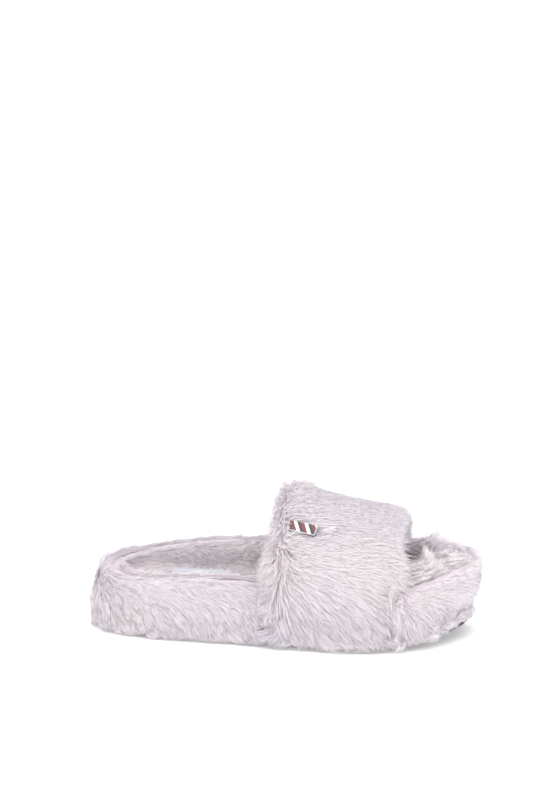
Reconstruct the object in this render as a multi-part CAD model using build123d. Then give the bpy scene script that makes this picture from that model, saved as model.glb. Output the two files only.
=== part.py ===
from build123d import *
import os
from math import cos, pi, radians, sin, sqrt, tan

# A fluffy open-toe, open-back slide slipper for the right foot, as an assembly of its real pieces.
#
# +X runs from heel to toe, +Y to the inner side of the foot and +Z up. While the pieces are made, x
# is measured from the heel end of the midsole. The finished set is then moved so that the origin is
# at the bottom centre of its bounding box. Lengths are in millimetres and angles in degrees.

# ---- driving dimensions ------------------------------------------------------------------------
sole_length = 247.0  # of the midsole, heel to toe
heel_width = 63.0
waist_width = 68.0
ball_width = 88.0
toe_offset = 7.0  # the toe's tip lies this far to the inner side of the heel's middle

spring_length = 75.0  # the sole curves up over this much of its toe end
spring_radius = 330.0
heel_station = 0.08  # where the raised edge's heights hold, as shares of the sole's length
arch_station = 0.43
ball_station = 0.76

outsole_thickness = 5.0
outsole_lip = 1.5  # the outsole stands out past the midsole by this much
tread_depth = 2.0
tread_groove = 3.0
tread_pitch = 11.0
tread_border = 8.0
tread_slant = 24.0  # of the chevrons, from straight across

midsole_thickness = 18.0
board_thickness = 2.0
board_inset = 0.5
foam_thickness = 5.0
foam_edge_width = 7.0  # of the raised edge all round the foam

outer_heel_edge = 36.5  # heights of the foam's raised edge, on the outer side
outer_arch_edge = 40.0
outer_toe_edge = 36.0  # at the ball and the toe, where the toe spring adds to it
inner_heel_edge = 39.5  # and on the inner side
inner_arch_edge = 49.0
inner_toe_edge = 41.0

footbed_pile = 6.0  # fur over the foam
edge_pile = 7.0  # fur over the foam's raised edge
wrap_pile = 10.0  # fur round the side of the sole
wrap_bottom = 1.0  # lowest fur of the wraps, above the floor
wrap_round = 6.0  # rounding of the wraps' upper edge
fold_width = 12.0  # the wraps and the strap are turned under the midsole by this much
fold_thickness = 1.2
seam_width = 1.2  # overlocked seam that joins the footbed's cover to the wraps
seam_height = 1.5

toe_opening = 49.0  # from the strap's front edge to the toe's end, at mid height
strap_length = 73.0  # between the fabric's two edges
strap_lean = 4.0  # both edges lean forward
strap_rear_top = 92.0  # height of the strap's inside at its rear edge
strap_front_top = 75.5
strap_shoulder = 52.0  # its sides are upright up to here
strap_crest_shift = 3.0  # its crest lies this far to the inner side
strap_tuck = 0.3  # its sides are drawn in by this much, tight against the sole
strap_overhang = 7.0  # fur past the fabric's edges
strap_bottom = 4.0  # lowest fur of the strap, above the floor
edge_round = 8.0  # the fur rounds over within this distance of its edge
edge_share = 0.35  # and starts there at this share of its full height
hem_width = 13.0  # fur turned inside along both edges
hem_thickness = 4.0
strap_gap = 0.5  # between the strap's fur and the wraps

lining_thickness = 0.8
padding_thickness = 2.5
tape_thickness = 0.4
tape_width = 10.0
interlining_thickness = 0.6
strap_pile = 7.5

badge_length = 20.0
badge_width = 8.5
badge_thickness = 1.8
badge_corner = 1.2
badge_rim = 0.7
badge_recess = 0.7
badge_setback = 13.5  # its middle, from the strap's rear edge
badge_turn = 43.0  # up the arch from the outer side
badge_sink = 3.0  # its base lies this far under the fur's surface
badge_clearance = 0.3  # between its sides and the fur
band_width = 2.2  # of one enamel band
band_slant = 30.0
prong_spacing = 9.0
prong_shift = 2.5  # their middle, forward of the badge's middle and clear of the hem's tape
prong_radius = 0.6
washer_radius = 3.2
washer_thickness = 0.5
washer_depth = 0.4  # foam left between the washers and the lining

label_length = 42.0
label_width = 27.0
label_corner = 4.0
label_thickness = 0.6
label_station = 66.0  # measured from the heel
label_offset = -3.0  # towards the outer side
label_stitch_inset = 2.0

stitch_length = 2.6
stitch_pitch = 4.2
stitch_radius = 0.35
stitch_clearance = 0.15
hem_stitch_inset = 3.0  # from the hem's inner edge

REACH = 400.0  # longer than anything that is cut with it
SKY = 130.0  # higher than anything

# ---- heights and offsets that follow from them ---------------------------------------------------
midsole_top = outsole_thickness + midsole_thickness
board_top = midsole_top + board_thickness
foam_top = board_top + foam_thickness
footbed_top = foam_top + footbed_pile
fold_top = outsole_thickness + fold_thickness
spring_start = sole_length - spring_length
strap_front = sole_length - toe_opening
strap_rear = strap_front - strap_length
badge_station = strap_rear + badge_setback
strap_middle = (fold_top + strap_rear_top) / 2

padding_inside = lining_thickness
interlining_inside = padding_inside + padding_thickness
tape_inside = interlining_inside - tape_thickness
fur_inside = interlining_inside + interlining_thickness
fur_rear = strap_rear - strap_overhang
fur_front = strap_front + strap_overhang


# ---- the footprint -------------------------------------------------------------------------------
def footprint_points():
    """The midsole's edge as seen from above: heel, outer side, toe, inner side."""
    heel, waist, ball = heel_width / 2, waist_width / 2, ball_width / 2
    along_and_side = [
        (0.000, 0.0),
        (0.045, -0.66 * heel),
        (0.190, -1.01 * heel),
        (0.420, -1.06 * waist),
        (0.680, -1.01 * ball),
        (0.860, -0.79 * ball),
        (0.960, -0.34 * ball),
        (1.000, toe_offset),
        (0.965, 0.55 * ball),
        (0.880, 0.89 * ball),
        (0.740, 0.99 * ball),
        (0.450, 0.90 * waist),
        (0.190, 0.99 * heel),
        (0.045, 0.66 * heel),
    ]
    return [Vector(along * sole_length, side) for along, side in along_and_side]


footprint_edge = Spline(*footprint_points(), periodic=True)


def footprint(grow=0.0):
    """The footprint as a face, with its edge moved outwards by grow."""
    moved = []
    for point in footprint_points():
        along = footprint_edge.tangent_at(point)
        moved.append(point + Vector(along.Y, -along.X) * grow)
    return make_face(Spline(*moved, periodic=True))


def column(grow=0.0):
    """The footprint drawn straight up through every layer."""
    return extrude(Pos(0, 0, -REACH / 4) * footprint(grow), REACH)


def sides_at(x):
    """Where the midsole's edge lies at x, as y on the outer and on the inner side."""
    strip = footprint() & Pos(x, 0, 0) * Rectangle(0.01, REACH)
    box = strip.bounding_box()
    return box.min.Y, box.max.Y


# ---- the layers of the sole, which follow the toe spring -------------------------------------------
def between(low, high):
    """Everything between two heights of the sole: flat, then curved up to the toe."""
    centre = (spring_start, spring_radius)
    lower = CenterArc(centre, spring_radius - low, -90, 45)
    upper = CenterArc(centre, spring_radius - high, -90, 45)
    back = -REACH / 4
    side = make_face(
        [
            Line((back, low), lower @ 0),
            lower,
            Line(lower @ 1, upper @ 1),
            upper,
            Line(upper @ 0, (back, high)),
            Line((back, high), (back, low)),
        ]
    )
    return extrude(Plane.XZ * side, REACH / 2, both=True)


def spring_rise(x):
    """How far the toe spring lifts the sole's underside at x."""
    return spring_radius - sqrt(spring_radius**2 - max(0.0, x - spring_start) ** 2)


def edge_profile(y, heel_height, arch_height, toe_height):
    """A side view of everything under the raised edge's line, in the upright plane at y."""
    back, front, floor = -REACH / 8, sole_length + REACH / 8, -REACH / 8
    ball = ball_station * sole_length
    tip_height = toe_height + spring_rise(sole_length)
    line = Spline(
        (back, heel_height),
        (heel_station * sole_length, heel_height),
        (arch_station * sole_length, arch_height),
        (ball, toe_height + spring_rise(ball)),
        (sole_length, tip_height),
        (front, tip_height),
    )
    below = Polyline(line @ 1, (front, floor), (back, floor), line @ 0)
    return Plane.XZ.offset(-y) * make_face([line, *below.edges()])


def under_edge(above=0.0):
    """Everything under the raised edge's line, moved up by above. Its height changes across."""
    outer = (outer_heel_edge, outer_arch_edge, outer_toe_edge)
    inner = (inner_heel_edge, inner_arch_edge, inner_toe_edge)
    steps = [(high - low) / 2 for low, high in zip(outer, inner)]
    far_outer = [low - step + above for low, step in zip(outer, steps)]
    far_inner = [high + step + above for high, step in zip(inner, steps)]
    ends = [edge_profile(-ball_width, *far_outer), edge_profile(ball_width, *far_inner)]
    return loft(ends, ruled=True)


def make_outsole():
    slab = column(outsole_lip) & between(0, outsole_thickness)
    field = column(-tread_border) & between(-outsole_thickness, tread_depth)
    bar = Box(tread_groove, REACH / 4, REACH / 4, align=(Align.CENTER, Align.MIN, Align.CENTER))
    rows = int(sole_length / tread_pitch) + 2
    chevrons = [
        Pos(row * tread_pitch, 0, 0) * Rot(0, 0, turn) * bar
        for row in range(rows)
        for turn in (tread_slant, 180 - tread_slant)
    ]
    return slab - (field & Part() + chevrons)


def make_midsole():
    rebate = (column(outsole_lip) - column(-fold_width)) & between(0, fold_top)
    return (column() & between(outsole_thickness, midsole_top)) - rebate


def make_board():
    return column(-board_inset) & between(midsole_top, board_top)


def make_foam():
    block = column() & between(board_top, SKY) & under_edge()
    return block - (column(-foam_edge_width) & between(foam_top, SKY))


def make_seam():
    ring = (column() - column(-seam_width)) & under_edge(seam_height)
    return ring - under_edge()


def make_footbed_fur(foam, seam):
    cover = column() & between(board_top, SKY) & under_edge(edge_pile)
    dish = column(-foam_edge_width - footbed_pile) & between(footbed_top, SKY)
    return cover - dish - foam - seam


def under_fold():
    """The strip of backing cloth that is turned under the midsole's edge."""
    strip = column(fur_inside) - column(-fold_width)
    return strip & between(outsole_thickness, fold_top)


def side_fur():
    """The fur all round the side of the sole, up to the overlocked seam, with its rounded edges."""
    body = column(wrap_pile) & between(wrap_bottom, SKY) & under_edge(edge_pile)
    rims = body.edges().filter_by(GeomType.BSPLINE).sort_by(SortBy.LENGTH)
    body = fillet(rims[:-1], wrap_round / 2)
    upper = body.edges().filter_by(GeomType.BSPLINE).sort_by(SortBy.LENGTH)[-1]
    return fillet(upper, wrap_round)


def lean(z):
    """How far the strap's edges lie towards the toe at height z."""
    return (z - strap_middle) * tan(radians(strap_lean))


def strap_slice(rear, front):
    """Everything between two leaning planes, given by their x at the strap's middle height."""
    low, high = -SKY, SKY
    corners = [
        (rear + lean(low), low),
        (front + lean(low), low),
        (front + lean(high), high),
        (rear + lean(high), high),
    ]
    return extrude(Plane.XZ * make_face(Polyline(*corners, close=True)), REACH / 2, both=True)


def make_wraps(outsole):
    """The fur wraps of the heel and of the toe, which meet the strap's fur at their ends."""
    cover = column() & under_edge(edge_pile)
    fur = side_fur() - cover - outsole
    fold = under_fold()
    heel = strap_slice(-REACH / 4, fur_rear - strap_gap)
    toe = strap_slice(fur_front + strap_gap, REACH)
    return [(fur & end) + (fold & column(wrap_pile / 2) & end) for end in (heel, toe)]


# ---- the strap -----------------------------------------------------------------------------------
def arch_sizes(x, grow):
    """The arch that lies outside the strap's inside by grow: outer side, inner side, crest, top."""
    outer, inner = sides_at(x)
    crest = (outer + inner) / 2 + strap_crest_shift
    share = (x - strap_rear) / (strap_front - strap_rear)
    top = strap_rear_top + share * (strap_front_top - strap_rear_top)
    return outer + strap_tuck - grow, inner - strap_tuck + grow, crest, top + grow


def arch_face(x, grow):
    """The closed outline of that arch, in the strap's leaning plane at x."""
    outer, inner, crest, top = arch_sizes(x, grow)
    floor = -REACH / 40
    middle = (crest, strap_shoulder)
    rise = top - strap_shoulder
    edges = [
        Line((outer, floor), (outer, strap_shoulder)),
        EllipticalCenterArc(middle, crest - outer, rise, 90, arc_size=90),
        EllipticalCenterArc(middle, inner - crest, rise, 0, arc_size=90),
        Line((inner, strap_shoulder), (inner, floor)),
        Line((inner, floor), (outer, floor)),
    ]
    across = (cos(radians(strap_lean)), 0, -sin(radians(strap_lean)))
    leaning = Plane(origin=(x + lean(0), 0, 0), x_dir=(0, 1, 0), z_dir=across)
    return leaning * make_face(edges)


def arch(grow):
    """The whole strap's arch as a solid block, lying outside the strap's inside by grow."""
    spans = 5
    stations = [fur_rear + (fur_front - fur_rear) * i / spans for i in range(spans + 1)]
    return loft([arch_face(x, grow) for x in stations])


def pile_at(x):
    """The height of the strap's fur at x, which rounds over at both of its edges."""
    inside = min(1.0, min(x - fur_rear, fur_front - x) / edge_round)
    return strap_pile * (edge_share + (1 - edge_share) * sqrt(1 - (1 - inside) ** 2))


def fur_arch():
    """The block under the strap's fur, rounded over at its front and rear edges."""
    steps = [0.0, 0.12, 0.4, 1.0]
    rear = [fur_rear + step * edge_round for step in steps]
    front = [fur_front - step * edge_round for step in reversed(steps)]
    middle = [rear[-1] + (front[0] - rear[-1]) * i / 3 for i in (1, 2)]
    return loft([arch_face(x, fur_inside + pile_at(x)) for x in rear + middle + front])


def make_strap_layers(sole, blocks):
    """Lining, padding, two stay tapes and interlining, from the inside outwards."""
    fabric = strap_slice(strap_rear, strap_front) & between(fold_top, SKY)
    fabric = fabric - sole
    rear = strap_slice(strap_rear, strap_rear + tape_width)
    front = strap_slice(strap_front - tape_width, strap_front)
    lining = (blocks["padding"] - blocks["inside"]) & fabric
    padding = (blocks["interlining"] - blocks["padding"]) & fabric
    tape = (blocks["interlining"] - blocks["tape"]) & fabric
    interlining = (blocks["fur"] - blocks["interlining"]) & fabric
    tapes = [tape & rear, tape & front]
    return lining, padding - tapes[0] - tapes[1], tapes, interlining


def make_strap_fur(sole, outsole, blocks):
    """The strap's fur, with both edges turned inside and its backing turned under the midsole."""
    above = between(strap_bottom, SKY)
    whole = fur_arch() & strap_slice(fur_rear, fur_front) & above
    fabric = strap_slice(strap_rear, strap_front)
    core = strap_slice(strap_rear + hem_width, strap_front - hem_width)
    fur = whole - (blocks["fur"] & fabric) - blocks["hem"]
    hems = ((blocks["inside"] - blocks["hem"]) & fabric & above) - core
    fold = under_fold() & blocks["fur"] & fabric
    return (fur + hems) - sole - outsole + fold


# ---- what is fixed to the strap and to the footbed ------------------------------------------------
def arch_point(x, turn, grow):
    """A point on the arch at x, where turn goes from 0 at the outer side to 180 at the inner side."""
    outer, inner, crest, top = arch_sizes(x, grow)
    half = crest - outer if turn < 90 else inner - crest
    height = strap_shoulder + (top - strap_shoulder) * sin(radians(turn))
    slope = radians(strap_lean)
    return Vector(
        x + lean(0) + height * sin(slope),
        crest - half * cos(radians(turn)),
        height * cos(slope),
    )


def arch_frame(x, turn, grow):
    """A plane that lies on the arch there: its x goes towards the toe and its z outwards."""
    here = arch_point(x, turn, grow)
    forward = arch_point(x + 1, turn, grow) - here
    around = arch_point(x, turn + 1, grow) - here
    return Plane(origin=here, x_dir=forward, z_dir=forward.cross(around))


def badge_block(grow, low, high):
    """The badge's outline, grown by grow, between two heights above the badge's base."""
    length, width = badge_length + 2 * grow, badge_width + 2 * grow
    corner = max(badge_corner + grow, badge_corner / 4)
    return Pos(0, 0, low) * extrude(RectangleRounded(length, width, corner), high - low)


def prong_places():
    """The middles of the two prongs on the badge's base."""
    return [Pos(prong_shift + side * prong_spacing / 2, 0, 0) for side in (-1, 1)]


def make_badge():
    """The framed badge with its prongs, its washers, and three colours of enamel in bands."""
    base = fur_inside + strap_pile - badge_sink
    depth = base - padding_inside - washer_depth
    down = (Align.CENTER, Align.CENTER, Align.MAX)
    up = (Align.CENTER, Align.CENTER, Align.MIN)
    prong = Cylinder(prong_radius, depth, align=down)
    washer = Pos(0, 0, -depth) * (
        Cylinder(washer_radius, washer_thickness, align=up)
        - Cylinder(prong_radius, 2 * washer_thickness)
    )
    recess = badge_block(-badge_rim, badge_thickness - badge_recess, badge_thickness)
    plate = badge_block(0, 0, badge_thickness) - recess
    plate = plate + [place * prong for place in prong_places()]
    washers = Part() + [place * washer for place in prong_places()]
    count = int(badge_length / band_width) + 4
    bar = Box(band_width, REACH, REACH)
    enamel = []
    for colour in range(3):
        bands = [
            Rot(0, 0, band_slant) * Pos((index - count / 2) * band_width, 0, 0) * bar
            for index in range(colour, count, 3)
        ]
        enamel.append(recess & (Part() + bands))
    frame = arch_frame(badge_station, badge_turn, base)
    pocket = badge_block(badge_clearance, 0, REACH / 8)
    return [frame * shape for shape in (plate, washers, *enamel, pocket)]


def make_stitch():
    """One stitch of thread, which lies along X."""
    half = stitch_length / 2 - stitch_radius
    ends = [Pos(side * half, 0, 0) * Sphere(stitch_radius) for side in (-1, 1)]
    return Rot(0, 90, 0) * Cylinder(stitch_radius, 2 * half) + ends


def make_hem_stitches(x):
    """A row of stitches round the inside of the strap, along a hem."""
    grow = -hem_thickness - stitch_radius - stitch_clearance
    outer, inner, crest, top = arch_sizes(x, grow)
    span = pi * (top - strap_shoulder + (inner - outer) / 2) / 2
    count = int(span / stitch_pitch)
    stitch = make_stitch()
    row = []
    for index in range(1, count):
        turn = 180 * index / count
        face = arch_frame(x, turn, grow)
        row.append(Plane(origin=face.origin, x_dir=face.y_dir, z_dir=face.z_dir) * stitch)
    return Compound(row)


def make_label():
    """The woven label on the footbed and its row of stitches."""
    place = Pos(label_station, label_offset, footbed_top)
    shape = RectangleRounded(label_length, label_width, label_corner)
    seam = offset(shape, -label_stitch_inset).wire()
    count = int(seam.length / stitch_pitch)
    height = label_thickness + stitch_clearance + stitch_radius
    row = []
    for index in range(count):
        spot = seam.position_at(index / count)
        along = seam.tangent_at(index / count)
        plane = Plane(origin=spot + Vector(0, 0, height), x_dir=along, z_dir=(0, 0, 1))
        row.append(place * (plane * make_stitch()))
    return place * extrude(shape, label_thickness), Compound(row)


# ---- the whole slipper ---------------------------------------------------------------------------
def make_slipper():
    """Every piece by its name, with x measured from the heel."""
    blocks = {
        "hem": arch(-hem_thickness),
        "inside": arch(0.0),
        "padding": arch(padding_inside),
        "tape": arch(tape_inside),
        "interlining": arch(interlining_inside),
        "fur": arch(fur_inside),
    }
    sole = column() & under_edge(edge_pile)
    outsole, foam, seam = make_outsole(), make_foam(), make_seam()
    heel_wrap, toe_wrap = make_wraps(outsole)
    lining, padding, tapes, interlining = make_strap_layers(sole, blocks)
    plate, washers, dark, red, cream, pocket = make_badge()
    label, label_stitches = make_label()
    return {
        "outsole": outsole,
        "midsole": make_midsole(),
        "insole_board": make_board(),
        "footbed_foam": foam,
        "footbed_fur": make_footbed_fur(foam, seam),
        "edge_seam": seam,
        "heel_wrap_fur": heel_wrap,
        "toe_wrap_fur": toe_wrap,
        "strap_fur": make_strap_fur(sole, outsole, blocks) - pocket - plate,
        "strap_interlining": interlining - plate,
        "strap_padding": padding - plate - washers,
        "strap_lining": lining,
        "strap_rear_tape": tapes[0],
        "strap_front_tape": tapes[1],
        "strap_rear_stitches": make_hem_stitches(strap_rear + hem_width - hem_stitch_inset),
        "strap_front_stitches": make_hem_stitches(strap_front - hem_width + hem_stitch_inset),
        "badge_plate": plate,
        "badge_enamel_dark": dark,
        "badge_enamel_red": red,
        "badge_enamel_cream": cream,
        "badge_washers": washers,
        "insole_label": label,
        "insole_label_stitches": label_stitches,
    }


pieces = make_slipper()
box = Compound(list(pieces.values())).bounding_box()
home = Pos(-box.center().X, -box.center().Y, -box.min.Z)
os.makedirs("parts", exist_ok=True)
for name, piece in pieces.items():
    export_step(home * piece, f"parts/{name}.step")
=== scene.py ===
from math import cos, pi, radians, sin

import bmesh
import bpy
import numpy as np
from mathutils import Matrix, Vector, noise
from mathutils.bvhtree import BVHTree
from mathutils.kdtree import KDTree


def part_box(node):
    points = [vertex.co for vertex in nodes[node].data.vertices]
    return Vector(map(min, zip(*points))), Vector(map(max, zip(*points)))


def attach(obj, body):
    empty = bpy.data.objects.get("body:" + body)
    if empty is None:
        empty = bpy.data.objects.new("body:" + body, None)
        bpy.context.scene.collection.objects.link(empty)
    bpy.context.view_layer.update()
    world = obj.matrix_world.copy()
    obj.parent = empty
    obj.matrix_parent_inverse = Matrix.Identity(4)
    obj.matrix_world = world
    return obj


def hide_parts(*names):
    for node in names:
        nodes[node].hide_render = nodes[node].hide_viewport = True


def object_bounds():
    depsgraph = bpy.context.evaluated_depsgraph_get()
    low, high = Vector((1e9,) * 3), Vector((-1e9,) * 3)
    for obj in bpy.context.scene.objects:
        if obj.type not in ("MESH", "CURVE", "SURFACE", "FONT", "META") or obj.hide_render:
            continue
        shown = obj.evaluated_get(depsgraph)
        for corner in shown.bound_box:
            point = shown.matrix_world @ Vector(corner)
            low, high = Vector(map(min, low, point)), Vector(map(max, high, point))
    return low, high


# A fluffy open-toe slide slipper. The sole and the strap come from the frame. Every fur node is
# replaced by a pelt, which is its soft body, and by thousands of combed strands that grow on it.
# Lengths are in metres.

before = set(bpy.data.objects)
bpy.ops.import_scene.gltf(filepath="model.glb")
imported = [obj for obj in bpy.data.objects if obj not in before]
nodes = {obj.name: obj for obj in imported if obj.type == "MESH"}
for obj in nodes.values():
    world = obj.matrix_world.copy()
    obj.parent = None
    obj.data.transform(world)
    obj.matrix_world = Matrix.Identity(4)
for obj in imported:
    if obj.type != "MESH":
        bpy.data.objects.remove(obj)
low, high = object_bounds()
BODY = "root"
MM = 0.001

AZIMUTH, ELEVATION = 8, 17  # degrees: the camera's turn towards the toe and its height
CAMERA_DISTANCE = 4.0
LENS = 263.0
DROP, SLIDE = 0.194, -0.0223  # the slipper stands low in the frame and right of the middle
STUDIO_GLOW = 0.92
FLOOR_GLOW = 0.2

GROWN = 1.0
STRAP_STRANDS = 38000
HEM_STRANDS = 5000
HEEL_STRANDS = 26000
TOE_STRANDS = 12000
FOOTBED_STRANDS = 24000
STRAND_RINGS = 3  # lengths that a strand is made of
STRAND_WIDTHS = (0.28, 0.48)  # millimetres, least and most
SMOOTHINGS = 4  # rounds on a new pelt
noise.seed_set(1)  # without a seed the noise vectors come from the clock
BAKE_MAP = "OFBake"  # the strands' map: root to tip across, tone upwards
CLOTH_MAP = "cloth"  # the sheets' map, in metres
TURN = 2 * pi

STRAP_LEAN = 0.07  # how far the strap's edges lean forward for each metre of height
STRAP_REACH = 3.5 * MM  # what the lean adds to the strap's box at each end
STRAP_MIDDLE = 0.05  # the height that the lean is counted from
TUNNEL_HEIGHT = 0.045  # of the middle of the strap's tunnel
SOLE_SIDE = 0.038  # half the width within which the footbed lies open under the strap
BESIDE_STRAP = 0.05  # in front of this X the toe's wrap lies beside the strap
TOE_RISE_START, TOE_RISE_RADIUS = 0.051, 0.330  # the outsole curves up in front of this X
HELD_NEAR, HELD_FAR = 1.2 * MM, 3.5 * MM  # from a neighbour: a nearer point is held, a further one free
HELD_ASKEW, HELD_FACING = 0.15, 0.55  # how squarely it faces the neighbour: free below, held above
ROOT_DEPTH = 0.6 * MM  # of a strand in its pelt
FLOOR_GAP = 0.15 * MM  # between the lowest strands and the floor


# ---- camera, light and floor ----------------------------------------------------------------------
def make_camera():
    """A long lens a little above the floor, turned so that the toe comes nearer."""
    azimuth, elevation = radians(AZIMUTH), radians(ELEVATION)
    to_camera = Vector((
        sin(azimuth) * cos(elevation),
        -cos(azimuth) * cos(elevation),
        sin(elevation),
    ))
    centre = (low + high) / 2
    data = bpy.data.cameras.new("camera")
    data.lens = LENS
    data.clip_end = 40
    data.shift_x, data.shift_y = SLIDE, DROP
    camera = bpy.data.objects.new("camera", data)
    camera.location = centre + to_camera * CAMERA_DISTANCE
    camera.rotation_mode = "QUATERNION"
    camera.rotation_quaternion = (-to_camera).to_track_quat("-Z", "Y")
    bpy.context.scene.collection.objects.link(camera)
    bpy.context.scene.camera = camera


def add_softbox(name, place, aim, size, power, colour):
    """A square area light that faces a point."""
    data = bpy.data.lights.new(name, "AREA")
    data.size = size
    data.energy = power
    data.color = colour
    light = bpy.data.objects.new(name, data)
    light.location = place
    light.rotation_mode = "QUATERNION"
    light.rotation_quaternion = (Vector(aim) - Vector(place)).to_track_quat("-Z", "Y")
    bpy.context.scene.collection.objects.link(light)


def make_studio():
    """A white floor, white surroundings and three softboxes."""
    scene = bpy.context.scene
    scene.view_settings.view_transform = "Standard"
    world = bpy.data.worlds.new("studio")
    world.use_nodes = True
    background = world.node_tree.nodes["Background"]
    background.inputs["Color"].default_value = (0.97, 0.97, 1.0, 1)
    background.inputs["Strength"].default_value = STUDIO_GLOW
    scene.world = world
    add_softbox("top_light", (0.1, -0.2, 1.5), (0, 0, 0), 1.2, 8.5, (1.0, 0.985, 0.97))
    add_softbox("front_light", (-0.5, -1.4, 0.7), (0, 0, 0.05), 0.9, 8.0, (1.0, 0.98, 0.97))
    add_softbox("toe_light", (1.4, -0.7, 0.45), (0.05, 0, 0.05), 0.6, 6.0, (1.0, 0.98, 0.98))
    mesh = bpy.data.meshes.new("floor")
    shape = bmesh.new()
    bmesh.ops.create_grid(shape, x_segments=1, y_segments=1, size=6)
    shape.to_mesh(mesh)
    shape.free()
    floor = bpy.data.objects.new("floor", mesh)
    floor.location.z = -0.2 * MM
    mesh.materials.append(floor_finish())
    scene.collection.objects.link(floor)


# ---- materials --------------------------------------------------------------------------------------
class Link:
    """A socket in a material's nodes. Sums and products of it add their Math nodes."""

    def __init__(self, finish, socket):
        self.finish = finish
        self.socket = socket

    def math(self, operation, *values):
        return self.finish.node("ShaderNodeMath", {"operation": operation}, dict(enumerate(values)))

    def wave(self):
        """A sine that runs from 0 to 1."""
        return self.math("SINE", self) * 0.5 + 0.5

    def __add__(self, other):
        return self.math("ADD", self, other)

    def __radd__(self, other):
        return self.math("ADD", other, self)

    def __mul__(self, other):
        return self.math("MULTIPLY", self, other)

    def __rmul__(self, other):
        return self.math("MULTIPLY", other, self)

    def __pow__(self, other):
        return self.math("POWER", self, other)

    def __gt__(self, other):
        return self.math("GREATER_THAN", self, other)

    def __lt__(self, other):
        return self.math("LESS_THAN", self, other)


class Finish:
    """One material: a Principled shader and the nodes that feed it."""

    def __init__(self, name, **fixed):
        self.material = bpy.data.materials.new(name)
        self.material.use_nodes = True
        self.tree = self.material.node_tree
        self.shader = self.tree.nodes["Principled BSDF"]
        for key, value in fixed.items():
            self.shader.inputs[key.replace("_", " ").title().replace("Ior", "IOR")].default_value = value

    def node(self, kind, settings=None, values=None, output=0):
        """A node with its settings first, then its sockets' values or links."""
        made = self.tree.nodes.new(kind)
        for key, value in (settings or {}).items():
            if key == "stops":
                self.set_stops(made.color_ramp, value)
            else:
                setattr(made, key, value)
        for key, value in (values or {}).items():
            if isinstance(value, Link):
                self.tree.links.new(value.socket, made.inputs[key])
            else:
                made.inputs[key].default_value = value
        return Link(self, made.outputs[output])

    def set_stops(self, ramp, stops):
        while len(ramp.elements) < len(stops):
            ramp.elements.new(1)
        for element, (place, colour) in zip(ramp.elements, stops):
            element.position = place
            element.color = (*colour, 1)

    def mix(self, factor, first, second, blend="MIX"):
        """Two colours mixed by a factor."""
        made = self.node("ShaderNodeMix", {"data_type": "RGBA", "blend_type": blend}, output=2)
        inputs = made.socket.node.inputs
        for socket, value in ((inputs[0], factor), (inputs[6], first), (inputs[7], second)):
            if isinstance(value, Link):
                self.tree.links.new(value.socket, socket)
            elif isinstance(value, tuple):
                socket.default_value = (*value, 1)
            else:
                socket.default_value = value
        return made

    def ramp(self, factor, *stops):
        """A colour that changes with a factor through the stops (place, colour)."""
        return self.node("ShaderNodeValToRGB", {"stops": stops}, {0: factor})

    def place(self, scale=(1, 1, 1)):
        """The piece's own coordinates in metres, scaled."""
        where = self.node("ShaderNodeTexCoord", output=3)
        return self.node("ShaderNodeMapping", None, {0: where, 3: scale})

    def mapped(self, name):
        """The two numbers of a piece's map."""
        return self.split(self.node("ShaderNodeUVMap", {"uv_map": name}))[:2]

    def split(self, vector):
        """The three numbers of a vector."""
        first = self.node("ShaderNodeSeparateXYZ", None, {0: vector})
        return [Link(self, socket) for socket in first.socket.node.outputs]

    def noise(self, vector, scale, detail=2.0, roughness=0.5):
        """Noise from 0 to 1 with a number of bumps to the metre."""
        values = {"Vector": vector, "Scale": scale, "Detail": detail, "Roughness": roughness}
        return self.node("ShaderNodeTexNoise", None, values)

    def bump(self, height, strength, distance):
        """Bumps of a height from 0 to 1, in the shader's Normal."""
        values = {"Strength": strength, "Distance": distance, "Height": height}
        self.feed("Normal", self.node("ShaderNodeBump", None, values))

    def feed(self, name, link):
        self.tree.links.new(link.socket, self.shader.inputs[name])


def fur_finish(name, root, cream, lilac):
    """Faux fur: the map runs from root to tip across and from cream to lilac strands upwards. Near its root
    each strand turns to the root colour, as painted shade deep in the pile.
    """
    fur = Finish(name, roughness=0.62, sheen_weight=0.12, sheen_roughness=0.5, specular_ior_level=0.22)
    along, tone = fur.mapped(BAKE_MAP)
    strand = fur.ramp(tone, (0.0, cream), (1.0, lilac))
    streak = fur.node("ShaderNodeMath", {"operation": "PINGPONG"}, {0: tone * 7.0, 1: 1.0})
    shade = fur.mix(streak * 0.10, strand, root)
    # painted shade: the root colour covers the strands most at their roots, where the pile shades itself
    depth = fur.ramp(along, (0.0, (1, 1, 1)), (0.55, (0.12, 0.12, 0.12)), (1.0, (0, 0, 0)))
    fur.feed("Base Color", fur.mix(depth * 0.75, shade, root))
    return fur.material


def pelt_finish(name, colour, shade):
    """The soft body under the strands, with fine streaks that run along the slipper."""
    pelt = Finish(name, roughness=0.85, sheen_weight=0.2, sheen_roughness=0.6, specular_ior_level=0.1)
    streaks = pelt.noise(pelt.place((60, 400, 400)), 1.0, 3.0)
    tufts = pelt.noise(pelt.place(), 90.0, 2.0)
    pelt.feed("Base Color", pelt.mix(streaks * 0.5 + tufts * 0.3, colour, shade))
    pelt.bump(streaks * 0.6 + tufts * 0.6, 0.8, 0.0008)
    return pelt.material


def knit_finish(name, colour, shade):
    """Tricot: fine ribs along the map's upward direction, with a little fuzz."""
    knit = Finish(name, roughness=0.8, sheen_weight=0.25, sheen_roughness=0.5, specular_ior_level=0.2)
    across, along = knit.mapped(CLOTH_MAP)
    rib = (across * (900 * TURN)).wave()
    loop = (along * (1100 * TURN)).wave()
    fuzz = knit.noise(knit.place(), 300.0, 3.0)
    height = rib * 0.6 + rib * loop * 0.4
    knit.feed("Base Color", knit.mix(fuzz * 0.5 + height * 0.25, shade, colour))
    knit.bump(height * 0.7 + fuzz * 0.5, 0.5, 0.0003)
    return knit.material


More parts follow.
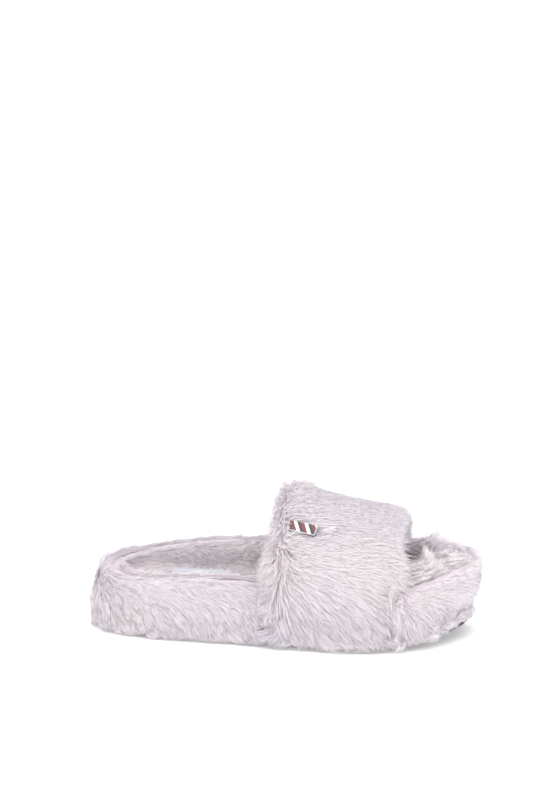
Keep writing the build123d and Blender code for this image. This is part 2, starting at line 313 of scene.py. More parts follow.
def label_finish():
    """Satin ribbon with a woven row of small diamonds between two fine lines."""
    ribbon = Finish("label_ribbon", sheen_weight=0.2, specular_ior_level=0.35)
    across, along = ribbon.mapped(CLOTH_MAP)
    wide = across.math("PINGPONG", across + 0.1, 2.2 * MM)
    tall = along.math("ABSOLUTE", along)
    diamond = (wide + tall * 0.9) < 2.0 * MM
    line = (tall > 5.4 * MM) * (tall < 6.1 * MM)
    pattern = diamond.math("MAXIMUM", diamond, line)
    warp = (across * (TURN / (0.35 * MM))).wave()
    weft = (along * (TURN / (0.28 * MM))).wave()
    ground = ribbon.mix(warp * 0.3, (0.72, 0.73, 0.79), (0.86, 0.86, 0.9))
    ribbon.feed("Base Color", ribbon.mix(pattern, ground, (0.25, 0.28, 0.38)))
    ribbon.feed("Roughness", weft * 0.2 + 0.45)
    ribbon.bump(warp * weft + pattern * 0.5, 0.5, 0.0002)
    return ribbon.material


def rubber_finish():
    """Moulded rubber with a fine grain, paler where it scuffs on the floor."""
    rubber = Finish("outsole_rubber", specular_ior_level=0.4)
    grain = rubber.noise(rubber.place(), 900.0, 2.0)
    scuff = rubber.noise(rubber.place(), 60.0, 4.0, 0.65)
    rubber.feed("Base Color", rubber.mix(scuff ** 2.0, (0.055, 0.05, 0.055), (0.16, 0.15, 0.155)))
    rubber.feed("Roughness", scuff * 0.25 + 0.55)
    rubber.bump(grain * 0.7 + scuff * 0.3, 0.35, 0.0003)
    return rubber.material


def foam_finish(name, colour, cell, shade):
    """Foam with cells about as large as cell, in metres."""
    foam = Finish(name, roughness=0.9, specular_ior_level=0.15)
    values = {"Vector": foam.place(), "Scale": 0.7 / cell}
    cells = foam.node("ShaderNodeTexVoronoi", {"feature": "F1"}, values)
    skin = foam.noise(foam.place(), 120.0, 3.0)
    foam.feed("Base Color", foam.mix(cells * 0.7 + skin * 0.3, colour, shade))
    foam.bump(cells, 0.6, cell / 2)
    return foam.material


def board_finish():
    """Pressed fibreboard: short fibres in every direction."""
    board = Finish("fibre_board", roughness=0.85, specular_ior_level=0.2)
    fibre = board.noise(board.place((900, 220, 900)), 1.0, 3.0)
    cross = board.noise(board.place((220, 900, 900)), 1.0, 3.0)
    board.feed("Base Color", board.mix(fibre * 0.5 + cross * 0.5, (0.36, 0.27, 0.17), (0.66, 0.54, 0.38)))
    board.bump(fibre * 0.5 + cross * 0.5, 0.4, 0.0002)
    return board.material


def woven_finish(name, colour, shade, pitch):
    """Plain woven or nonwoven cloth whose threads are a pitch apart."""
    cloth = Finish(name, roughness=0.85, specular_ior_level=0.2)
    x, y, z = cloth.split(cloth.place((TURN / pitch,) * 3))
    threads = x.wave() * (y + z).wave()
    cloth.feed("Base Color", cloth.mix(threads, shade, colour))
    cloth.bump(threads, 0.5, pitch / 4)
    return cloth.material


def thread_finish():
    """Spun thread, with its twist as fine slanting ridges."""
    thread = Finish("sewing_thread", roughness=0.7, sheen_weight=0.2, specular_ior_level=0.3)
    x, y, z = thread.split(thread.place((9000, 9000, 9000)))
    twist = (x + y + z).wave()
    thread.feed("Base Color", thread.mix(twist, (0.74, 0.73, 0.76), (0.9, 0.89, 0.92)))
    thread.bump(twist, 0.4, 0.0001)
    return thread.material


def metal_finish():
    """Satin nickel with fine brushing along the badge."""
    metal = Finish("satin_nickel", metallic=1.0)
    brush = metal.noise(metal.place((150, 3000, 3000)), 1.0, 3.0)
    metal.feed("Base Color", metal.mix(brush, (0.30, 0.30, 0.32), (0.46, 0.45, 0.47)))
    metal.feed("Roughness", brush * 0.2 + 0.25)
    metal.bump(brush, 0.2, 0.0001)
    return metal.material


def enamel_finish(name, colour, shade):
    """Soft enamel that pools a little darker in places."""
    enamel = Finish(name, coat_weight=0.5, coat_roughness=0.12, specular_ior_level=0.5)
    pool = enamel.noise(enamel.place(), 500.0, 2.0)
    enamel.feed("Base Color", enamel.mix(pool, shade, colour))
    enamel.feed("Roughness", pool * 0.15 + 0.25)
    enamel.bump(pool, 0.1, 0.0001)
    return enamel.material


def floor_finish():
    """White paper."""
    paper = Finish("white_paper", roughness=0.95, specular_ior_level=0.0)
    grain = paper.noise(paper.place(), 40.0, 2.0)
    paper.feed("Base Color", paper.mix(grain, (0.97, 0.97, 0.97), (0.99, 0.99, 0.99)))
    paper.shader.inputs["Emission Color"].default_value = (1, 1, 1, 1)
    paper.shader.inputs["Emission Strength"].default_value = FLOOR_GLOW
    return paper.material


# ---- meshes taken from the frame -------------------------------------------------------------------
def add_piece(name, mesh, finish, slot, *stands_for):
    """A finished piece, which rides on the slipper and may stand for nodes of the frame."""
    piece = bpy.data.objects.new(name, mesh)
    bpy.context.scene.collection.objects.link(piece)
    mesh.materials.clear()
    mesh.materials.append(finish)
    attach(piece, BODY)
    if stands_for:
        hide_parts(*stands_for)
    return piece


def merged(node):
    """A bmesh copy of a node with its loose triangles joined."""
    shape = bmesh.new()
    shape.from_mesh(nodes[node].data)
    bmesh.ops.remove_doubles(shape, verts=shape.verts, dist=0.01 * MM)
    return shape


def tree_of(node):
    """A node's faces, ready to be searched."""
    shape = merged(node)
    tree = BVHTree.FromBMesh(shape)
    shape.free()
    return tree


def smooth_mesh(name, shape):
    """A finished bmesh as a smooth-shaded mesh."""
    mesh = bpy.data.meshes.new(name)
    shape.to_mesh(mesh)
    shape.free()
    mesh.shade_smooth()
    return mesh


def remeshed(name, node, voxel):
    """A node's copy as an even mesh of voxel-sized faces, smoothed."""
    shape = merged(node)
    rough = bpy.data.meshes.new(name)
    shape.to_mesh(rough)
    shape.free()
    carrier = bpy.data.objects.new(name, rough)
    bpy.context.scene.collection.objects.link(carrier)
    modifier = carrier.modifiers.new("even", "REMESH")
    modifier.mode = "VOXEL"
    modifier.voxel_size = voxel
    graph = bpy.context.evaluated_depsgraph_get()
    even = bpy.data.meshes.new_from_object(carrier.evaluated_get(graph))
    bpy.data.objects.remove(carrier)
    shape = bmesh.new()
    shape.from_mesh(even)
    every_way = {"use_axis_x": True, "use_axis_y": True, "use_axis_z": True}
    for _ in range(SMOOTHINGS):
        bmesh.ops.smooth_vert(shape, verts=shape.verts, factor=0.5, **every_way)
    shape.to_mesh(even)
    shape.free()
    even.name = name
    return even


def points_of(mesh):
    """A mesh's vertices and their normals as arrays."""
    count = len(mesh.vertices)
    places, normals = np.empty(count * 3), np.empty(count * 3)
    mesh.vertices.foreach_get("co", places)
    mesh.vertex_normals.foreach_get("vector", normals)
    return places.reshape(-1, 3), normals.reshape(-1, 3)


def settle(points, normals, names):
    """How free each point is, from 0 to 1, and which way it sinks without entering a named node."""
    held, ways = np.zeros(len(points)), -normals
    for name in names:
        tree = tree_of(name)
        for index, point in enumerate(points):
            _, faced, _, gap = tree.find_nearest(Vector(point), HELD_FAR + 0.5 * MM)
            if faced:
                faced = np.array(faced)
                near = 1 - smoothstep(HELD_NEAR, HELD_FAR, gap)
                share = near * smoothstep(HELD_ASKEW, HELD_FACING, -faced @ normals[index])
                held[index] = max(held[index], share)
                ways[index] -= share * (ways[index] @ faced) * faced
    return 1 - held, ways


def gap_to(points, names, reach):
    """How far each point is from the nearest of the named nodes, up to a reach."""
    gaps = np.full(len(points), reach)
    for name in names:
        tree = tree_of(name)
        found = [tree.find_nearest(Vector(point), reach)[3] for point in points]
        gaps = np.minimum(gaps, [reach if gap is None else gap for gap in found])
    return gaps


def smoothstep(start, end, value):
    """0 before start, 1 after end and smooth between them."""
    share = np.clip((value - start) / (end - start), 0, 1)
    return share * share * (3 - 2 * share)


def unit(vectors):
    """Vectors scaled to length 1."""
    return vectors / np.maximum(np.linalg.norm(vectors, axis=-1, keepdims=True), 1e-9)


def make_pelt(name, node, neighbours, depth, voxel):
    """The soft body of a fur node, sunk by depth(points) wherever no neighbour holds it."""
    mesh = remeshed(name, node, voxel)
    places, normals = points_of(mesh)
    free, ways = settle(places, normals, neighbours)
    places = places + ways * depth(places)[:, None]
    mesh.vertices.foreach_set("co", places.ravel())
    mesh.update()
    mesh.shade_smooth()
    return mesh, free


# ---- strands ---------------------------------------------------------------------------------------
def strand_shape(rings):
    """A slim closed three-sided strand, one unit long: corner directions, heights and triangles."""
    shape = bmesh.new()
    bmesh.ops.create_cone(shape, cap_ends=True, cap_tris=True, segments=3, radius1=1, radius2=0, depth=1)
    for ring in range(1, rings):
        parts = list(shape.verts) + list(shape.edges) + list(shape.faces)
        bmesh.ops.bisect_plane(shape, geom=parts, plane_co=(0, 0, ring / rings - 0.5), plane_no=(0, 0, 1))
    bmesh.ops.remove_doubles(shape, verts=shape.verts, dist=1e-5)
    bmesh.ops.recalc_face_normals(shape, faces=shape.faces)
    bmesh.ops.triangulate(shape, faces=shape.faces)
    shape.verts.index_update()
    corners = np.array([vert.co for vert in shape.verts])
    heights = corners[:, 2] + 0.5
    triangles = np.array([[vert.index for vert in face.verts] for face in shape.faces])
    shape.free()
    around = corners[:, :2] / np.maximum(1 - heights, 0.05)[:, None]
    around[heights > 0.99] = 0
    return around, np.rint(heights * rings).astype(int), triangles


def scatter(mesh, free, count, seed, density=None):
    """Random roots on the free part of a pelt and up to the footbed's seam: places and normals."""
    random = np.random.default_rng(seed)
    mesh.calc_loop_triangles()
    places, normals = points_of(mesh)
    corners = np.empty(len(mesh.loop_triangles) * 3, dtype=int)
    mesh.loop_triangles.foreach_get("vertices", corners)
    corners = corners.reshape(-1, 3)
    a, b, c = (places[corners[:, i]] for i in range(3))
    weight = np.linalg.norm(np.cross(b - a, c - a), axis=1)
    facing = unit(normals[corners].mean(axis=1))
    seam = 1.0 * (facing[:, 2] > SEAM_FACING) * (np.abs(a[:, 2] - SEAM_HEIGHT) < SEAM_HEIGHT - SEAT)
    weight = weight * (free[corners].min(axis=1) > ROOTED - (ROOTED - ROOTED_AT_SEAM) * seam)
    if density:
        weight = weight * density((a + b + c) / 3, facing)
    chosen = random.choice(len(corners), size=count, p=weight / weight.sum())
    first, second = random.random(count), random.random(count)
    flip = first + second > 1
    first[flip], second[flip] = 1 - first[flip], 1 - second[flip]
    shares = np.stack([1 - first - second, first, second], axis=1)[:, :, None]
    roots = (places[corners[chosen]] * shares).sum(axis=1)
    return roots, unit((normals[corners[chosen]] * shares).sum(axis=1)), random


def waves(points, scale, seed):
    """Smooth noise vectors at the points, about as large as 1, with bumps of the given size."""
    shift = Vector((seed * 7.3, seed * 3.1, seed * 5.7))
    return np.array([noise.noise_vector(Vector(point) / scale + shift) for point in points])


def clump(roots, paths, size, strength, random):
    """Draws each strand's tip towards the tip of the nearest chosen strand."""
    count = max(4, int(len(roots) * size))
    chosen = random.choice(len(roots), size=count, replace=False)
    tree = KDTree(count)
    for index, root in enumerate(roots[chosen]):
        tree.insert(root, index)
    tree.balance()
    leader = chosen[[tree.find(root)[1] for root in roots]]
    pull = np.linspace(0, 1, paths.shape[1])[None, :, None] ** 1.5 * strength[:, None, None]
    return paths + (paths[leader] - paths) * pull


def grow(roots, normals, flow, length, lift, random, stray, droop=0.12):
    """The paths of strands: each leaves its root at the angle lift and is laid along flow."""
    count, rings = len(roots), STRAND_RINGS
    side = unit(np.cross(normals, flow))
    turn = random.normal(0, 1, count) * stray
    lay = unit(flow * np.cos(turn)[:, None] + side * np.sin(turn)[:, None])
    rise = np.clip(lift * random.normal(1, 0.3, count), 0.05, 1.4)
    sag = droop * (1 - np.clip(normals[:, 2], 0, 1))
    paths = [roots - normals * ROOT_DEPTH]
    for ring in range(rings):
        angle = (rise * (1 - ring / rings) ** 1.1)[:, None]
        step = lay * np.cos(angle) + normals * np.sin(angle)
        step[:, 2] -= sag * (ring + 1) / rings
        paths.append(paths[-1] + unit(step) * (length / rings)[:, None])
    return np.stack(paths, axis=1)


def trimmed(paths, random):
    """Strands cut back where they would hang past the sole's rising edge or lie on the floor."""
    root, tip = paths[:, 0], paths[:, -1]
    rise = np.maximum(tip[:, 0] - TOE_RISE_START, 0) ** 2 / (2 * TOE_RISE_RADIUS)
    room = root[:, 2] - rise - random.uniform(0.2, 1.5, len(paths)) * MM
    share = np.clip(room / np.maximum(root[:, 2] - tip[:, 2], 0.1 * MM), 0.3, 1)
    return paths[:, :1] + (paths - paths[:, :1]) * share[:, None, None]


def strands(name, paths, tone, width, finish, slot):
    """One piece with a strand along every path. Its bake map runs root to tip and by tone."""
    rings = paths.shape[1] - 1
    around, level, triangles = strand_shape(rings)
    count = len(paths)
    ahead = unit(np.gradient(paths, axis=1))
    side = unit(np.cross(ahead[:, 0], paths[:, 0] - paths[:, -1] + ahead[:, 1] * 0.01 + [0, 0, 1e-4]))
    across = unit(np.cross(ahead, side[:, None, :]))
    taper = np.array([0.85] + [1.0 - 0.75 * (ring / rings) ** 2 for ring in range(1, rings + 1)])
    radius = width[:, None] / 2 * taper[level]
    places = paths[:, level]
    places = places + side[:, None, :] * (radius * around[:, 0])[:, :, None]
    places = places + across[:, level] * (radius * around[:, 1])[:, :, None]
    places[:, :, 2] = np.maximum(places[:, :, 2], FLOOR_GAP)
    faces = triangles[None] + (np.arange(count) * len(level))[:, None, None]
    mesh = bpy.data.meshes.new(name)
    mesh.from_pydata(places.reshape(-1, 3), [], faces.reshape(-1, 3))
    mesh.shade_smooth()
    spread = 0.012 * around[triangles.ravel(), 0]
    chart = np.empty((count, triangles.size, 2))
    chart[:, :, 0] = 0.02 + 0.96 * (level[triangles.ravel()] / rings)
    chart[:, :, 1] = np.clip(tone, 0.03, 0.97)[:, None] + spread
    mesh.uv_layers.new(name=BAKE_MAP).data.foreach_set("uv", chart.ravel())
    return add_piece(name, mesh, finish, slot)


def laid(directions, normals):
    """Directions laid flat on the surface."""
    flat = directions - normals * (directions * normals).sum(axis=1, keepdims=True)
    return unit(flat)


# ---- the fur's lie ---------------------------------------------------------------------------------
strap_low, strap_high = (np.array(corner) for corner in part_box("strap_fur"))
label_low, label_high = (np.array(corner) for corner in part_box("insole_label"))
SEAT = label_low[2]  # height of the flat part of the footbed
SEAM_HEIGHT = SEAT + 10 * MM  # of the seam round the footbed, about
SEAM_FACING = 0.6  # a face this far upwards, or further, belongs to the top of the edge
ROOTED, ROOTED_AT_SEAM = 0.25, 0.02  # how free a face has to be to grow strands
RIM_START, RIM_END = 0.039, 0.044  # heights between which the footbed's raised edge begins


def strap_share(points):
    """0 at the strap's rear edge and 1 at its front edge, along the leaning strap."""
    lean = (points[:, 2] - STRAP_MIDDLE) * STRAP_LEAN
    length = strap_high[0] - strap_low[0] - 2 * STRAP_REACH
    return (points[:, 0] - lean - strap_low[0] - STRAP_REACH) / length


def facing_in(points, normals):
    """How far each normal points into the strap's tunnel, from -1 to 1."""
    middle = np.stack([points[:, 0], np.zeros(len(points)), np.full(len(points), TUNNEL_HEIGHT)], axis=1)
    return (unit(middle - points) * normals).sum(axis=1)


def plate_frame(*names):
    """Flat nodes' middle, their long, short and thin directions, and half their size along them."""
    corners = np.concatenate([points_of(nodes[name].data)[0] for name in names])
    middle = (corners.min(axis=0) + corners.max(axis=0)) / 2
    axes = np.linalg.svd(corners - corners.mean(axis=0), full_matrices=False)[2]
    axes[0] *= np.sign(axes[0, 0])
    axes[2] *= np.sign(axes[2, 2])
    return middle, axes, np.abs((corners - middle) @ axes.T).max(axis=0)


def crosses(paths, plate, covered):
    """Which strands pass over a plate. The first covered metres of the plate don't count."""
    middle, axes, half = plate
    steps = np.linspace(0, 1, 5)[None, None, :, None]
    fine = paths[:, :-1, None] + (paths[:, 1:, None] - paths[:, :-1, None]) * steps
    place = (fine.reshape(len(paths), -1, 3) - middle) @ axes.T
    along = (place[..., 0] > covered - half[0]) & (place[..., 0] < half[0])
    across = np.abs(place[..., 1]) < half[1]
    above = (place[..., 2] > -half[2]) & (place[..., 2] < 20 * MM)
    return (along & across & above).any(axis=1)


def parting_share(points):
    """Where along the strap its fur parts: at the rear edge on top and further in below."""
    inset = 0.05 * (1 - smoothstep(0.060, 0.085, points[:, 2]))
    return 0.05 + inset + 0.05 * waves(points, 0.013, 8)[:, 0]


def strap_flow(points, normals):
    """Back over the rear edge, forward over the rest, and down at the sides."""
    low_down = 1 - smoothstep(0.016, 0.058, points[:, 2])
    along = -1 + 2 * smoothstep(-0.11, 0.11, strap_share(points) - parting_share(points))
    flow = np.stack([along, np.zeros(len(points)), -0.12 - 1.0 * low_down], axis=1)
    unrest = (0.18 + 0.4 * low_down)[:, None]
    flow = flow + unrest * waves(points, 0.020, 1) + 0.6 * unrest * waves(points, 0.007, 2)
    return laid(flow, normals)


def far_share(points):
    """How many millimetres less the edge sinks. It's below 0 on the outer side of the foot."""
    return 3.4 * smoothstep(-0.015, 0.030, points[:, 1]) - 1.2


def wrap_flow(points, normals):
    """Forward along the upper edge, down to the floor below it and back over the strap's front."""
    down = 0.10 + 1.25 * (1 - smoothstep(0.012, 0.040, points[:, 2]))
    beside_strap = (points[:, 0] > BESIDE_STRAP) * (1 - smoothstep(0.080, 0.092, points[:, 0]))
    flow = np.stack([1 - 2 * beside_strap, 0.25 * np.sign(points[:, 1]), -down], axis=1)
    flow = flow + 0.55 * waves(points, 0.016, 3) + 0.3 * waves(points, 0.006, 4)
    return laid(flow, normals)


def footbed_flow(points, normals):
    """Forward and towards the middle, in swirls at the toe."""
    toe = smoothstep(0.082, 0.100, points[:, 0])
    flow = np.stack([1 - 0.5 * toe, -0.25 * np.sign(points[:, 1]), np.zeros(len(points))], axis=1)
    flow = flow + (0.6 + 0.9 * toe)[:, None] * waves(points, 0.014, 5)
    return laid(flow, normals)


def spread_tone(points, random, shift):
    """Tone of each strand, cream in some places and lilac in others, with a random part."""
    wide = waves(points, 0.035, 6)[:, 0]
    return np.clip(0.5 + shift + 0.35 * wide + random.normal(0, 0.16, len(points)), 0, 1)


def add_pile(name, paths, tone, width, finish, slot, parts):
    """Strands in a few pieces, split along the slipper."""
    order = np.argsort(paths[:, 0, 0])
    for number, chosen in enumerate(np.array_split(order, parts), 1):
        label = name if parts == 1 else f"{name}_{number}"
        strands(label, paths[chosen], tone[chosen], width[chosen], finish, slot)


# ---- fur pieces --------------------------------------------------------------------------------------
def make_strap_fur(pelt, pile):
    """The strap's pelt and its long pile, with shorter pile on the turned hems."""
    held_by = ["strap_interlining", "strap_padding", "strap_lining", "midsole", "footbed_fur", "outsole"]

    def depth(points):
        inner_front = smoothstep(0.85, 1.0, strap_share(points)) * smoothstep(-0.01, 0.02, points[:, 1])
        low_down = 1 - smoothstep(0.010, 0.035, points[:, 2])
        return (4.2 + 4.0 * inner_front + 1.0 * low_down) * MM

    mesh, free = make_pelt("strap_pelt", "strap_fur", held_by, depth, 1.8 * MM)
    add_piece("strap_pelt", mesh, pelt, "fur", "strap_fur")

    def outside(points, normals):
        parting = np.exp(-(((strap_share(points) - 0.06) / 0.09) ** 2))
        return (1 + 0.8 * parting) * (facing_in(points, normals) < 0.25)

    def inside(points, normals):
        return 1.0 * (facing_in(points, normals) >= 0.25)

    roots, normals, random = scatter(mesh, free, int(STRAP_STRANDS * GROWN), 11, outside)
    share, height = strap_share(roots), roots[:, 2]
    bottom = 1 - smoothstep(0.018, 0.050, height)
    top = smoothstep(0.065, 0.085, height)
    rear = 1 - smoothstep(0.02, 0.22, share)
    inner = smoothstep(-0.015, 0.010, roots[:, 1])
    front = smoothstep(0.86, 1.0, share) * np.maximum(smoothstep(0.062, 0.080, height), inner)
    fringe = smoothstep(0.75, 0.95, share) * (1 - smoothstep(0.062, 0.076, height)) * (1 - inner)
    parting = np.exp(-(((share - parting_share(roots)) / 0.07) ** 2))
    length = (14 + 2 * bottom + 4 * rear - 3.5 * rear * top - 9 * front + 5 * fringe) * MM
    length = length * random.uniform(0.75, 1.2, len(roots))
    lift = 0.30 + 0.20 * rear + 0.08 * bottom + 0.30 * parting
    stray = 0.12 + 0.2 * bottom + 0.6 * parting
    paths = grow(roots, normals, strap_flow(roots, normals), length, lift, random, stray)
    strength = 0.08 + 0.5 * bottom + 0.45 * rear * (1 - smoothstep(0.06, 0.09, height))
    paths = trimmed(clump(roots, paths, 0.02, np.clip(strength, 0, 0.75), random), random)
    badge = plate_frame("badge_enamel_dark", "badge_enamel_red", "badge_enamel_cream")
    kept = ~crosses(paths, badge, 3 * MM)
    width = random.uniform(*STRAND_WIDTHS, len(roots)) * MM
    tone = spread_tone(roots, random, 0.3 * top + 0.25 * bottom - 0.1)
    add_pile("strap_pile", paths[kept], tone[kept], width[kept], pile, "fur", 4)

    roots, normals, random = scatter(mesh, free, int(HEM_STRANDS * GROWN), 12, inside)
    flow = np.stack([np.sign(0.5 - strap_share(roots)), 0 * roots[:, 0], 0 * roots[:, 0]], axis=1)
    flow = laid(flow + 0.4 * waves(roots, 0.012, 7), normals)
    length = random.uniform(5, 8, len(roots)) * MM
    paths = grow(roots, normals, flow, length, np.full(len(roots), 0.35), random, 0.25)
    width = random.uniform(0.3, 0.45, len(roots)) * MM
    add_pile("hem_pile", paths, spread_tone(roots, random, 0), width, pile, "fur", 1)


def make_wrap_fur(part, count, parts, seed, pelt, pile):
    """A wrap's pelt and its pile, which hangs in clumps to the floor."""
    held_by = ["midsole", "footbed_fur", "outsole", "footbed_foam"]
    node = f"{part}_wrap_fur"

    def depth(points):
        raised = smoothstep(0.022, 0.036, points[:, 2])
        heel_end = 1 - smoothstep(-0.126, -0.108, points[:, 0])
        kept = np.maximum(2.5 * heel_end * (1 - raised), far_share(points))
        toe_end = smoothstep(0.098, 0.122, points[:, 0])
        return (4.5 - kept + toe_end * (3.0 - 4.0 * raised)) * MM

    mesh, free = make_pelt(f"{part}_pelt", node, held_by, depth, 2.0 * MM)
    add_piece(f"{part}_pelt", mesh, pelt, "fur", node)
    roots, normals, random = scatter(mesh, free, int(count * GROWN), seed)
    bottom = 1 - smoothstep(0.014, 0.034, roots[:, 2])
    toe_end = smoothstep(0.095, 0.115, roots[:, 0])
    length = (11 + 3 * bottom - 4 * toe_end * bottom) * MM * random.uniform(0.75, 1.2, len(roots))
    lift = 0.38 + 0.04 * bottom
    paths = grow(roots, normals, wrap_flow(roots, normals), length, lift, random, 0.15 + 0.15 * bottom)
    paths = trimmed(clump(roots, paths, 0.02, 0.1 + 0.6 * bottom, random), random)
    width = random.uniform(*STRAND_WIDTHS, len(roots)) * MM
    add_pile(f"{part}_pile", paths, spread_tone(roots, random, 0.1), width, pile, "fur", parts)


def make_footbed_fur(pelt, pile):
    """The footbed's cover: flat short pile where the foot treads, longer on the raised edge."""
    held_by = ["footbed_foam", "insole_board", "heel_wrap_fur", "toe_wrap_fur", "strap_lining"]

    def depth(points):
        gaps = gap_to(points, ["heel_wrap_fur", "toe_wrap_fur"], 14 * MM)
        toe = smoothstep(0.060, 0.085, points[:, 0])
        broad = 1 - 0.4 * toe
        rim = 1 - smoothstep(6 * MM * broad, 13 * MM * broad, gaps)
        rim = np.maximum(rim, (points[:, 1] < 0) * (1 - toe)) * smoothstep(RIM_START, RIM_END, points[:, 2])
        middle = 2.2 - 6.5 * toe
        return (middle + rim * (4.8 - far_share(points) - middle)) * MM

    mesh, free = make_pelt("footbed_pelt", "footbed_fur", held_by, depth, 2.0 * MM)
    add_piece("footbed_pelt", mesh, pelt, "fur_footbed", "footbed_fur")

    def in_the_open(points, normals):
        share = strap_share(points)
        return 1.0 - 0.999 * ((share > 0.02) & (share < 0.98) & (np.abs(points[:, 1]) > SOLE_SIDE))

    roots, normals, random = scatter(mesh, free, int(FOOTBED_STRANDS * GROWN), 31, in_the_open)
    raised = smoothstep(SEAT + 2 * MM, SEAT + 8 * MM, roots[:, 2])
    toe = smoothstep(0.070, 0.090, roots[:, 0])
    near_edge = raised * (roots[:, 1] < 0) * (1 - toe)
    length = (8 + 3 * raised + 4 * toe - 4 * near_edge) * MM * random.uniform(0.75, 1.2, len(roots))
    lift = 0.32 + 0.10 * raised + 0.20 * toe
    paths = grow(roots, normals, footbed_flow(roots, normals), length, lift, random, 0.2, 0.05)
    paths = clump(roots, paths, 0.03, 0.15 + 0.5 * toe, random)
    kept = ~crosses(paths, plate_frame("insole_label"), 0)
    width = random.uniform(0.30, 0.46, len(roots)) * MM
    tone = spread_tone(roots, random, 0)
    add_pile("footbed_pile", paths[kept], tone[kept], width[kept], pile, "fur_footbed", 2)


# ---- cloth pieces ------------------------------------------------------------------------------------
def cloth_map(shape, chart):
    """Gives every corner of a bmesh its place in the cloth, in metres, by its vertex."""
    layer = shape.loops.layers.uv.new(CLOTH_MAP)
    for face in shape.faces:
        for loop in face.loops:
            loop[layer].uv = chart[loop.vert.index]


def thicken(piece, thickness, offset):
    """Gives a sheet its thickness, on both sides of it where offset is 0."""
    wall = piece.modifiers.new("thickness", "SOLIDIFY")
    wall.thickness = thickness
    wall.offset = offset


def make_lining(finish):
    """The strap's lining: one strip stretched round the tunnel from sole to sole."""
    tree = tree_of("strap_lining")
    near, far = (Vector(corner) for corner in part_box("strap_lining"))
    slope, shoulder = STRAP_LEAN, 0.052  # the sides turn into the arch at the shoulder's height
    upright, curved, across = 12, 40, 24  # faces up each side, over the arch and along the foot
    margin = 0.3 * MM  # inside the lining's rear edge
    strip = far.x - near.x - 5.3 * MM  # the lining's box is longer by its lean
    starts = [(near.z + 3 * MM + (shoulder - near.z) * i / upright, 0.0) for i in range(upright)]
    arch = [(shoulder, pi * i / curved) for i in range(curved + 1)]
    profile = starts + arch + [(height, pi) for height, _ in reversed(starts)]
    shape = bmesh.new()
    bmesh.ops.create_grid(shape, x_segments=across, y_segments=len(profile) - 1, size=0.5)
    shape.verts.ensure_lookup_table()
    chart, last = {}, [None] * (across + 1)
    run = [0.0] * (across + 1)
    for index, vert in enumerate(shape.verts):
        column, row = index % (across + 1), index // (across + 1)
        height, turn = profile[row]
        begin = Vector((near.x + margin + strip * column / across + slope * (height - near.z), 0, height))
        outward = Vector((slope * sin(turn), -cos(turn), sin(turn)))
        hit = tree.ray_cast(begin, outward)[0]
        vert.co = hit or tree.find_nearest(begin + outward * far.y)[0]
        if last[column]:
            run[column] += (vert.co - last[column]).length
        last[column] = vert.co.copy()
        chart[index] = (strip * column / across, run[column])
    cloth_map(shape, chart)
    bmesh.ops.recalc_face_normals(shape, faces=shape.faces)
    mesh = smooth_mesh("strap_lining_cloth", shape)
    lining = add_piece("strap_lining_cloth", mesh, finish, "lining", "strap_lining")
    thicken(lining, 0.6 * MM, 0)


def make_label(finish):
    """The woven label: a thin ribbon with rounded corners that lies in the footbed's fur where the foot
    treads.
    """
    size = label_high - label_low
    middle = (label_low + label_high) / 2
    corner, columns, rows = 4 * MM, 42, 27
    shape = bmesh.new()
    bmesh.ops.create_grid(shape, x_segments=columns, y_segments=rows, size=0.5)
    chart = {}
    for index, vert in enumerate(shape.verts):
        across, along = vert.co.x * size[0], vert.co.y * size[1]
        chart[index] = (across, along)
        past = Vector((abs(across) - size[0] / 2 + corner, abs(along) - size[1] / 2 + corner))
        if past.x > 0 and past.y > 0 and past.length > corner:
            past = past.normalized() * corner
            across = (size[0] / 2 - corner + past.x) * (1 if across > 0 else -1)
            along = (size[1] / 2 - corner + past.y) * (1 if along > 0 else -1)
        ripple = noise.noise(Vector((across * 90, along * 90, 0)))
        vert.co = (middle[0] + across, middle[1] + along, label_high[2] - 0.25 * MM + ripple * 0.25 * MM)
    cloth_map(shape, chart)
    mesh = smooth_mesh("insole_label_cloth", shape)
    label = add_piece("insole_label_cloth", mesh, finish, "label", "insole_label")
    thicken(label, 0.45 * MM, -0.5)


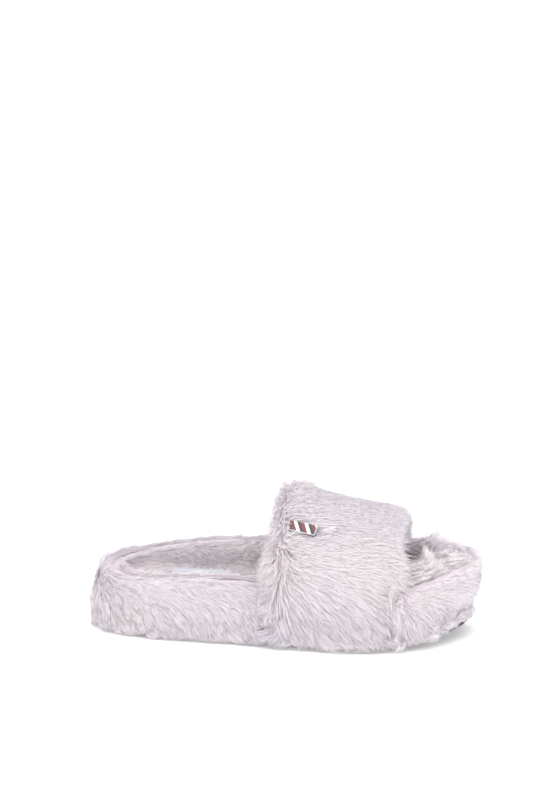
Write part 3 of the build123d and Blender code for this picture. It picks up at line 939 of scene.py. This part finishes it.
# ---- the slipper -------------------------------------------------------------------------------------
def finish_nodes():
    """Materials for the nodes that stay as the frame has them."""
    webbing = woven_finish("cotton_webbing", (0.84, 0.82, 0.78), (0.66, 0.64, 0.6), 0.7 * MM)
    metal, thread = metal_finish(), thread_finish()
    finishes = {
        "outsole": rubber_finish(),
        "midsole": foam_finish("eva_foam", (0.9, 0.9, 0.89), 0.5 * MM, (0.78, 0.78, 0.78)),
        "insole_board": board_finish(),
        "footbed_foam": foam_finish("footbed_foam", (0.9, 0.87, 0.76), 0.8 * MM, (0.72, 0.68, 0.55)),
        "strap_padding": foam_finish("strap_foam", (0.93, 0.92, 0.85), 0.7 * MM, (0.76, 0.75, 0.68)),
        "strap_interlining": woven_finish("nonwoven", (0.88, 0.88, 0.86), (0.74, 0.74, 0.72), 1.1 * MM),
        "strap_rear_tape": webbing,
        "strap_front_tape": webbing,
        "edge_seam": thread,
        "strap_rear_stitches": thread,
        "strap_front_stitches": thread,
        "insole_label_stitches": thread,
        "badge_plate": metal,
        "badge_washers": metal,
        "badge_enamel_dark": enamel_finish("charcoal_enamel", (0.016, 0.018, 0.03), (0.008, 0.009, 0.016)),
        "badge_enamel_red": enamel_finish("wine_enamel", (0.22, 0.012, 0.028), (0.12, 0.006, 0.014)),
        "badge_enamel_cream": enamel_finish("cream_enamel", (0.86, 0.83, 0.78), (0.76, 0.73, 0.67)),
    }
    for name, finish in finishes.items():
        nodes[name].data.materials.clear()
        nodes[name].data.materials.append(finish)


make_camera()
make_studio()
finish_nodes()
# the pelt's colours are painted shade: darker than the strands, they stand for the shade that the strands
# cast on the body
pelt = pelt_finish("pelt", (0.72, 0.65, 0.68), (0.62, 0.55, 0.59))
# the pile's first colour, at the roots, is painted shade deep in the pile
pile = fur_finish("pile", (0.89, 0.81, 0.86), (0.975, 0.92, 0.905), (0.94, 0.90, 0.965))
# a lighter copy of the pile for the footbed: painted light that lifts the shade in the footbed's hollow,
# with painted shade at the roots as in the pile
painted_light_pile = fur_finish("pile_painted_lighter", (0.95, 0.88, 0.92), (0.99, 0.945, 0.93), (0.97, 0.93, 0.98))
make_strap_fur(pelt, pile)
make_wrap_fur("heel", HEEL_STRANDS, 3, 21, pelt, pile)
make_wrap_fur("toe", TOE_STRANDS, 1, 22, pelt, pile)
make_footbed_fur(pelt, painted_light_pile)
make_lining(knit_finish("tricot", (0.90, 0.89, 0.90), (0.72, 0.70, 0.72)))
make_label(label_finish())
